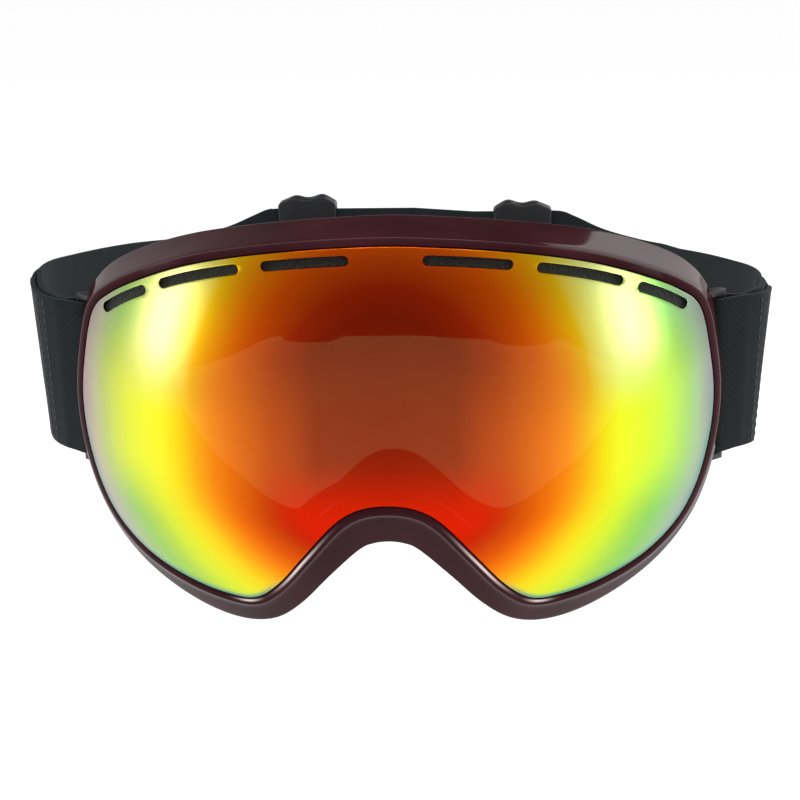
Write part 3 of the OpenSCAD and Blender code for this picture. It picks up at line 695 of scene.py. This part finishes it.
def makeFrontFrame():
    s = frameSettings
    seat = shape["lensT"] + s["clear"]
    bm = bmesh.new()
    edgeOff = [max(s["rimW"] + 0.3, k) for k in skirt]

    def row(offsets, depths, back=None):
        points = [p + o * d for p, o, d in zip(lensRing, lensOut, offsets)]
        ys = [sphereYAt(p, 0) if back is None else b for p, b in zip(points, back or points)]
        return [(p.x, y + d, p.y) for p, y, d in zip(points, ys, depths)]

    same = lambda value: [value for _ in stations]
    ledgeIn = [p - o * l for p, o, l in zip(lensRing, lensOut, ledge)]
    ledgeY = [sphereYAt(p, seat) for p in ledgeIn]
    groove = [p + o * s["clear"] for p, o in zip(lensRing, lensOut)]
    grooveY = [sphereYAt(p, seat) for p in groove]
    loops = [
        [(p.x, y + s["ledgeT"], p.y) for p, y in zip(ledgeIn, ledgeY)],
        [(p.x, y + 0.3, p.y) for p, y in zip(ledgeIn, ledgeY)],
        [(p.x, y, p.y) for p, y in zip(ledgeIn, ledgeY)],
        [(p.x, y, p.y) for p, y in zip(groove, grooveY)],
        row(same(0.26), same(0.5)),
        row(same(0.34), same(-0.02)),
        row(same(0.5), same(-0.16)),
        row(same(1.3), same(-0.45)),
        row(same(1.95), same(-0.74)),
        row(same(2.2), same(-0.88)),
        row(same(s["crestAt"]), same(-s["proud"])),
    ]
    for share in (0.10, 0.25, 0.5, 0.75, 0.9):
        offsets, drops = [], []
        for e in edgeOff:
            o = s["crestAt"] + (e - s["crestAt"]) * share
            fall = min(1.0, (o - s["crestAt"]) / 1.1) if e > 4 else share
            offsets.append(o)
            drops.append(-s["proud"] + 0.8 * fall * fall * (3 - 2 * fall) + 0.6 * share)
        loops.append(row(offsets, drops))
    skirtPoints = [p + o * e for p, o, e in zip(lensRing, lensOut, edgeOff)]
    skirtY = [sphereYAt(p, 0) for p in skirtPoints]
    loops.append(row([e - 0.1 for e in edgeOff], same(0.62)))
    loops.append(row(edgeOff, same(0.9)))
    for share in (0.12, 0.3, 0.55, 0.8, 0.95, 1.0):
        offsets = [e + r * share for e, r in zip(edgeOff, rear)]
        loops.append(row(offsets, [0.6 + (d - 0.6) * share for d in depth], skirtY))
    loops.append(row([e + r - 0.7 for e, r in zip(edgeOff, rear)], [d + 0.25 for d in depth], skirtY))
    loops.append(row([e + r - s["wall"] + 0.4 for e, r in zip(edgeOff, rear)], [d + 0.1 for d in depth],
                     skirtY))
    loops.append(row([e + r - s["wall"] for e, r in zip(edgeOff, rear)], [d - 0.5 for d in depth], skirtY))
    loops.append([(p.x, y + s["ledgeT"] + 0.4, p.y) for p, y in zip(
        [g + o * 0.5 for g, o in zip(groove, lensOut)], grooveY)])
    loops.append([(p.x, y + s["ledgeT"], p.y) for p, y in zip(groove, grooveY)])
    made = loft(bm, loops, wrap=True)
    layer = bm.loops.layers.uv.new("rim")
    # the rim map carries the painted lip highlight's strength and the place across the section
    marks = {v: (paintedLipHighlight(i / len(stations)), k / 20)
             for k, verts in enumerate(made) for i, v in enumerate(verts)}
    for f in bm.faces:
        for corner in f.loops:
            corner[layer].uv = marks[corner.vert]
    obj = toObject(bm, "frontFrame")
    addSubdivision(obj)
    bakeModifiers(obj)
    return dress(obj, framePaint, "mask", ["front_frame"])


makeFrontFrame()

faceSettings = {"wall": 1.8}


def makeFaceFrame():
    s = faceSettings
    wallFront = [p - o * 0.3 for p, o in zip(lensRing, lensOut)]
    wallFrontIn = [p - o * (0.3 + s["wall"]) for p, o in zip(lensRing, lensOut)]
    groove = [p + o * 0.2 for p, o in zip(lensRing, lensOut)]
    frontY = [sphereYAt(p, shape["lensT"] + 0.2) + 2.4 for p in groove]
    flangeY = [faceYAt(p, r, foamStack) for p, r in zip(faceRing, faceRise)]
    openY = [faceYAt(p, r, foamStack) for p, r in zip(openRing, faceRise)]
    faceIn = [p - o * s["wall"] for p, o in zip(faceRing, faceOut)]
    faceInY = [faceYAt(p, r, foamStack + s["wall"]) for p, r in zip(faceIn, faceRise)]

    def mid(a, ay, b, by, t):
        return [((1 - t) * p.x + t * q.x, (1 - t) * y0 + t * y1, (1 - t) * p.y + t * q.y)
                for p, y0, q, y1 in zip(a, ay, b, by)]

    bm = bmesh.new()
    loft(bm, [
        [(p.x, y, p.y) for p, y in zip(wallFrontIn, frontY)],
        [(p.x, y, p.y) for p, y in zip(wallFront, frontY)],
        mid(wallFront, frontY, faceRing, flangeY, 0.06),
        mid(wallFront, frontY, faceRing, flangeY, 0.5),
        mid(wallFront, frontY, faceRing, flangeY, 0.90),
        [(p.x, y - 0.4, p.y) for p, y in zip(faceRing, flangeY)],
        [(p.x, y, p.y) for p, y in zip([q - o * 0.3 for q, o in zip(faceRing, faceOut)], flangeY)],
        [(p.x, y, p.y) for p, y in zip([q + o * 0.3 for q, o in zip(openRing, openOut)], openY)],
        [(p.x, y - 0.4, p.y) for p, y in zip(openRing, openY)],
        [(p.x, y - s["wall"] + 0.4, p.y) for p, y in zip(openRing, openY)],
        [(p.x, y - s["wall"], p.y) for p, y in zip([q + o * 0.4 for q, o in zip(openRing, openOut)], openY)],
        [(p.x, y, p.y) for p, y in zip(faceIn, faceInY)],
        mid(faceIn, faceInY, wallFrontIn, frontY, 0.5),
    ], wrap=True)
    obj = toObject(bm, "faceFrame")
    obj.data.set_sharp_from_angle(angle=math.radians(50))
    return dress(obj, tpuBlack, "mask", ["face_frame"])


makeFaceFrame()


def makeFoamLayer(name, low, high, bulge, corner, material, node, wobble):
    bm = bmesh.new()
    section = []
    thick = high - low
    c = corner / thick
    tuck = -min(corner, 0.8)  # how far the glued edge is drawn in
    topEdge = -0.8 * corner * bulge if corner < 0.625 else tuck  # a large corner rolls further in
    side = [(tuck, 0), (0.2 * bulge, c * 0.5), (0.8 * bulge, 0.3), (bulge, 0.5), (0.8 * bulge, 0.7),
            (0.2 * bulge, 1 - c * 0.5), (topEdge, 1)]
    # across the section, 0 is the outer edge and 1 the opening: each with its growth and its height share
    profile = [(0, grow, level) for grow, level in side]
    profile += [(0.2, 0, 1), (0.5, 0, 1), (0.8, 0, 1)]
    profile += [(1, grow, level) for grow, level in reversed(side)]
    profile += [(0.5, 0, 0)]
    for share, grow, level in profile:
        loop = []
        for i in stations:
            p, q = faceRing[i], openRing[i]
            if share == 0:
                point = p + faceOut[i] * grow
            elif share == 1:
                point = q - openOut[i] * grow
            else:
                point = p.lerp(q, share)
            rise = faceRise[i]
            crown = 0.35 * math.sin(math.pi * share) if level == 1 else 0.0
            ripple = wobble * noise.noise(Vector((point.x * 0.09, point.y * 0.09, level * 2)))
            y = faceYAt(point, rise, foamStack - low - thick * level) + (crown * 0.3 + ripple) * (level == 1)
            loop.append((point.x, y, point.y))
        section.append(loop)
    loft(bm, section, wrap=True)
    obj = toObject(bm, name)
    addSubdivision(obj)
    bakeModifiers(obj)
    dress(obj, material, "mask", [node])
    return obj


bond, slack = shape["bond"], 0.05
firmTop = bond + shape["foamBase"]
softTop = firmTop + bond + shape["foamSoft"]
fleeceTop = softTop + bond + shape["fleece"]
makeFoamLayer("faceFoamBase", bond, firmTop - slack, 0.35, 0.5, foamGrey, "face_foam_base",
              wobble=0.0)
makeFoamLayer("faceFoamSoft", firmTop + bond, softTop - slack, 0.6, 0.8, foamDark,
              "face_foam_soft", wobble=0.0)
makeFoamLayer("faceFleece", softTop + bond, fleeceTop - slack, 0.5, 0.6, fleeceMat,
              "face_fleece", wobble=0.15)
print("face side done")


def roundedMesh(node, width, segments, corner):  # a merged copy of a node, with its sharp edges rounded
    bm = bmesh.new()
    bm.from_mesh(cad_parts[node].data)
    bmesh.ops.remove_doubles(bm, verts=bm.verts, dist=0.002 * mm)
    bmesh.ops.dissolve_limit(bm, angle_limit=math.radians(1.5), verts=bm.verts, edges=bm.edges)
    edges = [e for e in bm.edges if e.is_manifold and e.calc_face_angle(0) > math.radians(corner)]
    bmesh.ops.bevel(bm, geom=edges, offset=width * mm, offset_type="OFFSET", affect="EDGES",
                    segments=segments,
                    profile=0.5, material=-1, clamp_overlap=True)
    return bm


def roundedCopy(node, name, width, body, material):
    obj = toObject(roundedMesh(node, width, 2, 40), name, recalc=False)
    obj.data.set_sharp_from_angle(angle=math.radians(40))
    return dress(obj, material, body, [node])


adjusterSettings = {"centre": 37, "length": 20, "rise": 7, "endFrom": 22.9, "cuts": 24, "round": 0.7,
                    "lumps": [(-0.5, 0.30, 1.3), (0.42, 0.26, 0.9)], "cornerDrop": 1.4, "endRun": 1.7,
                    "lowEnd": -0.7,
                    "lift": {"left": 0.5, "right": -0.6}, "drop": {"left": 0.0, "right": 1.4}}


def makeAdjuster(name, side):
    # the two ends are swollen finger grips, and the corners fall away
    s = adjusterSettings
    bm = roundedMesh(name + "_adjuster", s["round"], 3, 50)
    for k in range(1, s["cuts"]):
        x = (s["centre"] + s["length"] * (k / s["cuts"] - 0.5)) * side * mm
        bmesh.ops.bisect_plane(bm, geom=bm.verts[:] + bm.edges[:] + bm.faces[:], plane_co=(x, 0, 0),
                               plane_no=(1, 0, 0))
    for v in bm.verts:
        z = v.co.z / mm - s["rise"]
        share = min(1, max(0, (abs(z) - s["endFrom"]) / s["endRun"]))
        t = (abs(v.co.x) / mm - s["centre"]) / (s["length"] / 2)
        swell = sum(h * math.exp(-((t - place) / wide) ** 2) for place, wide, h in s["lumps"])
        grow = swell + s["lift"][name] if z > 0 else s["lowEnd"]
        v.co.z += share * (grow - s["cornerDrop"] * min(1, abs(t)) ** 4) * (1 if z > 0 else -1) * mm
        v.co.z -= s["drop"][name] * mm
    obj = toObject(bm, name + "Adjuster", recalc=False)
    obj.data.set_sharp_from_angle(angle=math.radians(50))
    dress(obj, acetalBlack, name + "_slider", [name + "_adjuster"])


for name in ("left", "right"):
    roundedCopy(name + "_bracket", name + "Bracket", 0.3, "mask", acetalBlack)
    roundedCopy(name + "_hinge_pin", name + "HingePin", 0.2, "mask", steelMat)
    roundedCopy(name + "_outrigger", name + "Outrigger", 0.3, name + "_arm", acetalBlack)
    makeAdjuster(name, -1 if name == "left" else 1)
print("hardware done")

strapSettings = {
    "width": 45, "thick": 1.5, "layer": 1.85, "rise": 7, "parts": 6, "rows": 22, "joinAt": 12,
    "hingeBar": (91.62, 29.26), "barWrap": 2.7, "tailDir": (1, 0.3), "adjusterX": 37, "loopW": 43.5,
    "returnThick": 1.15, "outerDrop": {"left": 1.4, "right": 2.4},
    "hang": {  # each side hangs a little differently
        "left": {"lift": 1.3, "pull": 0.0, "straighten": 2.0, "backDrop": 0.0},
        "right": {"lift": -2.0, "pull": 3.4, "straighten": 0.0, "backDrop": 1.4},
    },
}
strapRoute = [(97.37, 31, 0.1, 2), (103, 36.4, 0.3, 4), (106.1, 46, 0.6, 6), (105.8, 59, 0.7, 6),
              (101.4, 76, 0.57, 5), (94.4, 95, 0.4, 4), (86.5, 114, 0.17, 3), (77.5, 131, 0, 2),
              (65, 144, 0.2, 1),
              (55, 148.6, 0.75, 0), (49.5, 149.7, 1, 0), (38, 150, 1, 0), (20, 150, 1, 0), (0, 150, 1, 0)]


def curveThrough(points, parts):
    get = lambda i: points[min(max(i, 0), len(points) - 1)]
    line = [smooth(get(i - 1), get(i), get(i + 1), get(i + 2), s / parts)
            for i in range(len(points) - 1) for s in range(parts)]
    return line + [points[-1].copy()]


sideLine = curveThrough([Vector((x, y, r * strapSettings["rise"], lean)) for x, y, r, lean in strapRoute],
                        strapSettings["parts"])


def shifted(line, amount, drop=0.0):  # the same line, moved outward
    moved = []
    for i, p in enumerate(line):
        d = line[min(i + 1, len(line) - 1)] - line[max(i - 1, 0)]
        t = Vector((d.x, d.y)).normalized()
        moved.append(Vector((p.x + t.y * amount, p.y - t.x * amount, p.z - drop, p.w)))
    return moved


def makeBand(name, line, width, thickness, outward=1, edgeRidge=0.12, widths=None):
    s = strapSettings
    bm = bmesh.new()
    uv = {}
    run = 0.0
    loops = []
    for i, p in enumerate(line):
        d = line[min(i + 1, len(line) - 1)] - line[max(i - 1, 0)]
        t = Vector((d.x, d.y)).normalized()
        o = Vector((t.y, -t.x, 0)) * outward
        lean = math.radians(p.w)
        up = Vector((o.x * math.sin(lean), o.y * math.sin(lean), math.cos(lean)))
        if i:
            run += (Vector((p.x, p.y)) - Vector((line[i - 1].x, line[i - 1].y))).length
        w = widths[i] if widths else width
        row = []
        for k in range(s["rows"] + 1):
            v = (k / s["rows"] - 0.5) * 2
            v = math.copysign(abs(v) ** 0.85, v)  # rows sit closer at the edges
            ridge = edgeRidge if abs(v) > 0.93 else 0.0
            wave = 0.10 * noise.noise(Vector((run * 0.05, v * 1.5, 3.1 * outward)))
            row.append((Vector(p[:3]) + o * (ridge * 0.5 + wave) + up * v * w / 2,
                        (run * mm, v * w / 2 * mm)))
        loops.append(row)
    made = loft(bm, [[point for point, _ in row] for row in loops], closed=False)
    layer = bm.loops.layers.uv.new("cloth")
    for verts, row in zip(made, loops):
        for v, (_, place) in zip(verts, row):
            uv[v] = place
    for f in bm.faces:
        for corner in f.loops:
            corner[layer].uv = uv[corner.vert]
    obj = toObject(bm, name)
    solid = obj.modifiers.new("thickness", "SOLIDIFY")
    solid.thickness, solid.offset, solid.use_even_offset = thickness * mm, 0, True
    bevel = obj.modifiers.new("selvedge", "BEVEL")
    bevel.width, bevel.segments, bevel.limit_method = 0.4 * mm, 2, "ANGLE"
    bevel.angle_limit = math.radians(50)
    return bakeModifiers(obj, 60)


def hungLine(name):
    hang = strapSettings["hang"][name]
    moved = []
    for p in sideLine:
        near = min(max((p.y - 34) / 14, 0), 1) * min(max((148 - p.y) / 40, 0), 1)
        back = min(max((p.y - 120) / 26, 0), 1) * min(p.x / 20, 1)
        rise = hang["lift"] * near - hang["backDrop"] * back
        moved.append(Vector((p.x - hang["pull"] * near, p.y, p.z + rise, p.w - hang["straighten"] * near)))
    return moved


def mirrorLine(line):
    return [Vector((-p.x, p.y, p.z, p.w)) for p in line]


stitchSettings = {"rows": (4, 6), "pitch": 2.6, "length": 1.9, "radius": 0.24, "margin": 2.2}


def makeStitches(name, line, side):  # two lines of lock stitch close the loop on the outrigger's bar
    s, width = stitchSettings, strapSettings["width"]
    bm = bmesh.new()
    count = int((width - 2 * s["margin"]) / s["pitch"])
    for row in s["rows"]:
        p, d = line[row], line[row + 1] - line[row - 1]
        t = Vector((d.x, d.y)).normalized()
        lean = math.radians(p.w)
        out = Vector((t.y * side, -t.x, 0))
        up = Vector((out.x * math.sin(lean), out.y * math.sin(lean), math.cos(lean)))
        turn = Matrix((up, out, up.cross(out))).transposed().to_4x4()
        for k in range(count + 1):
            v = (k / count - 0.5) * (width - 2 * s["margin"])
            centre = Vector((p.x * side, p.y, p.z)) + out * (strapSettings["thick"] / 2 + 0.08) + up * v
            size = Matrix.Diagonal((s["length"] / 2, s["radius"], s["radius"], 1))
            place = Matrix.Translation(centre * mm) @ turn @ size @ Matrix.Scale(mm, 4)
            bmesh.ops.create_icosphere(bm, subdivisions=1, radius=1, matrix=place)
    obj = toObject(bm, name + "StrapStitches")
    return dress(obj, threadMat, None)


def makeStrap():
    s = strapSettings
    lines = {name: hungLine(name) for name in ("left", "right")}
    whole = lines["right"][s["joinAt"]:] + mirrorLine(lines["left"][s["joinAt"]:-1])[::-1]
    band = makeBand("strapBand", whole, s["width"], s["thick"])
    dress(band, webbingMat, "mask", ["strap"])

    bar = Vector(s["hingeBar"])
    tail = Vector(s["tailDir"]).normalized()
    normal = Vector((tail.y, -tail.x))
    for side, name in ((-1, "left"), (1, "right")):
        drop, line = s["outerDrop"][name], lines[name]
        innerPart = line[:s["joinAt"] + 1]
        outerPart = shifted(line, s["layer"])[:s["joinAt"] + 1]
        for i, p in enumerate(outerPart):
            p.z -= drop * i / s["joinAt"]
        turn = [bar + s["barWrap"] * (-normal * math.cos(math.radians(a)) - tail * math.sin(math.radians(a)))
                for a in (0, 30, 60, 90, 120, 150, 180)]
        before = bar + tail * 3.3 - normal * 1.9
        after = bar + tail * 3.6 + normal * 2.2
        z0, lean0 = innerPart[0].z, innerPart[0].w
        fold = [Vector((p.x, p.y, z0 * abs(k), lean0 * k)) for p, k in
                [(before, -0.6)] + [(p, 0.0) for p in turn] + [(after, 0.6)]]
        # the inner part runs forwards, so it leans the other way
        towards = [Vector((p.x, p.y, p.z, -p.w)) for p in innerPart[::-2]]
        path = towards + fold + outerPart[::2]
        path = [Vector((side * p.x, p.y, p.z, p.w)) for p in curveThrough(path, 3)]
        obj = makeBand(name + "StrapEnd", path, s["width"], s["thick"], outward=side)
        dress(obj, webbingMat, None, [name + "_strap_fold"])
        stitches = makeStitches(name, outerPart, side)
        for piece in (obj, stitches):
            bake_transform(piece)

        outer = shifted(line, s["layer"], drop)[s["joinAt"]:]
        ax = s["adjusterX"]
        reach = [p for p in outer if p.x > ax + 11]
        for i, p in enumerate(reach):
            p.z += drop * max(0.0, 1 - (len(reach) - i) / 24)
        flat = s["rise"] - s["hang"][name]["backDrop"]
        loopPath = [(ax + 9.5, 151.85), (ax + 6.4, 151.9), (ax + 4.2, 152.3), (ax + 3.1, 153.4),
                    (ax + 2.7, 154.8),
                    (ax + 1.7, 156.0), (ax, 156.35), (ax - 1.7, 156.0), (ax - 2.6, 154.8), (ax - 2.75, 153.5),
                    (ax - 2.3, 152.45), (ax - 1.0, 152.1), (ax + 1.2, 152.1)]
        path = reach[::2] + [Vector((x, y, flat, 0)) for x, y in loopPath]
        path = [Vector((side * p.x, p.y, p.z, p.w)) for p in curveThrough(path, 3)]
        widths = [s["width"] if abs(p.x) > ax + 12 else s["loopW"] for p in path]
        obj = makeBand(name + "StrapReturn", path, s["width"], s["returnThick"], outward=side, widths=widths)
        dress(obj, webbingMat, None, [name + "_strap_return", name + "_adjuster_loop"])
        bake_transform(obj)


makeStrap()
print("strap done")


stageSettings = {"floorZ": -0.16, "floorSize": 40.0}


def makeStage():
    bm = bmesh.new()
    bmesh.ops.create_grid(bm, x_segments=1, y_segments=1, size=stageSettings["floorSize"] / 2)
    bmesh.ops.translate(bm, vec=(0, 0, stageSettings["floorZ"]), verts=bm.verts)
    floor = toObject(bm, "floor", recalc=False)
    mat, tree, shader = newMaterial("whitePaperSweep", Roughness=0.9)
    shader.inputs["Base Color"].default_value = (0.93, 0.93, 0.93, 1)
    shader.inputs["Specular IOR Level"].default_value = 0.1
    floor.data.materials.append(mat)


makeStage()


def addSoftbox(name, place, size, energy, form):
    data = bpy.data.lights.new(name, "AREA")
    data.shape, data.size, data.size_y = form, size[0], size[1]
    data.energy = energy
    obj = bpy.data.objects.new(name, data)
    scene.collection.objects.link(obj)
    obj.location = place
    obj.rotation_euler = (Vector() - Vector(place)).to_track_quat("-Z", "Y").to_euler()
    obj.visible_camera = False


lighting = {  # place, size, power and form of each panel; every one faces the goggles
    "leftSoftbox": ((-1.27, -0.14, 0.29), (0.5, 0.6), 1.5, "ELLIPSE"),
    "rightSoftbox": ((1.28, -0.02, 0.30), (0.5, 0.6), 1.7, "ELLIPSE"),
    "topStrip": ((0, -0.35, 1.1), (1.0, 0.12), 4.0, "RECTANGLE"),
    "rightRim": ((0.85, 1.1, 0.55), (1.4, 1.0), 4.2, "ELLIPSE"),
}
world = bpy.data.worlds.new("studio")
scene.world = world
world.use_nodes = True
skyTree = world.node_tree
background = skyTree.nodes["Background"]
skyCoord = addNode(skyTree, "ShaderNodeTexCoord")
direction = addNode(skyTree, "ShaderNodeSeparateXYZ", {0: skyCoord.outputs["Generated"]})
height = addNode(skyTree, "ShaderNodeMapRange", {0: direction.outputs["Z"], 1: -0.2, 2: 1.0})
fade = fillRamp(addNode(skyTree, "ShaderNodeValToRGB", {0: height.outputs[0]}), [
    (0.0, (1, 1, 1, 1)), (0.22, (1, 1, 1, 1)), (0.55, (0.5, 0.5, 0.51, 1)), (1.0, (0.35, 0.35, 0.36, 1))])
# the surroundings are dark low behind the goggles, which keeps the top of the frame deep in colour
sideways = addNode(skyTree, "ShaderNodeMath", {0: direction.outputs["X"]}, operation="ABSOLUTE")
width = addNode(skyTree, "ShaderNodeMapRange", {0: sideways.outputs[0], 1: 0.10, 2: 0.55, 3: 1.0, 4: 0.0},
                interpolation_type="SMOOTHSTEP")
behind = addNode(skyTree, "ShaderNodeMapRange", {0: direction.outputs["Y"], 1: 0.1, 2: 0.4},
                 interpolation_type="SMOOTHSTEP")
above = addNode(skyTree, "ShaderNodeMapRange", {0: direction.outputs["Z"], 1: 0.02, 2: 0.10},
                interpolation_type="SMOOTHSTEP")
curtain = addNode(skyTree, "ShaderNodeMath", {0: width.outputs[0], 1: behind.outputs[0]},
                  operation="MULTIPLY")
curtain = addNode(skyTree, "ShaderNodeMath", {0: curtain.outputs[0], 1: above.outputs[0]},
                  operation="MULTIPLY")
sky = addNode(skyTree, "ShaderNodeMix", {0: curtain.outputs[0], 6: fade.outputs[0],
                                         7: (0.05, 0.045, 0.047, 1)},
              data_type="RGBA")
skyTree.links.new(sky.outputs[2], background.inputs["Color"])

for name, panel in lighting.items():
    addSoftbox(name, *panel)
sunData = bpy.data.lights.new("skyPanel", "SUN")  # a wide panel overhead, even over the whole object
sunData.energy, sunData.angle = 2.1, math.radians(120)
sun = bpy.data.objects.new("skyPanel", sunData)
scene.collection.objects.link(sun)
sun.visible_glossy = False
scene.view_settings.view_transform = "Standard"
print("stage done")
